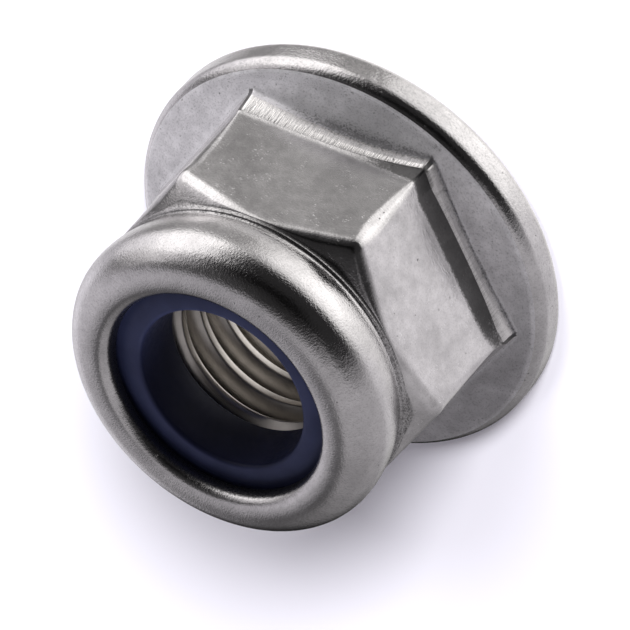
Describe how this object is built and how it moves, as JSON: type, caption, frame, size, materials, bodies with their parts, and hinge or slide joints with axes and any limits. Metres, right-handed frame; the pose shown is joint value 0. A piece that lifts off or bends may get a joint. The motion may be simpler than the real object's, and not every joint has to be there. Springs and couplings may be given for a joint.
{
  "type": "serrated flange lock nut",
  "caption": "Hexagon nut with a washer flange, ratchet serrations under it, and a nylon locking ring crimped into the collar above its thread.",
  "frame": {"origin": "centre of the bearing face, on the plane of the serration crests, where the nut stands", "axes": "+Z along the thread from the bearing face to the collar; +X through a corner of the hexagon and the crest of one serration; +Y completes a right-handed frame"},
  "size_m": [0.0174, 0.0174, 0.011],
  "materials": {
    "stainless_steel": "cold formed and tumbled to a satin sheen, bright on the rounded collar and the worn edges",
    "nylon": "dark blue moulded nylon, semi-matt"
  },
  "bodies": {
    "root": {"nut_body": "stainless_steel", "locking_ring": "nylon"}
  },
  "joints": []
}
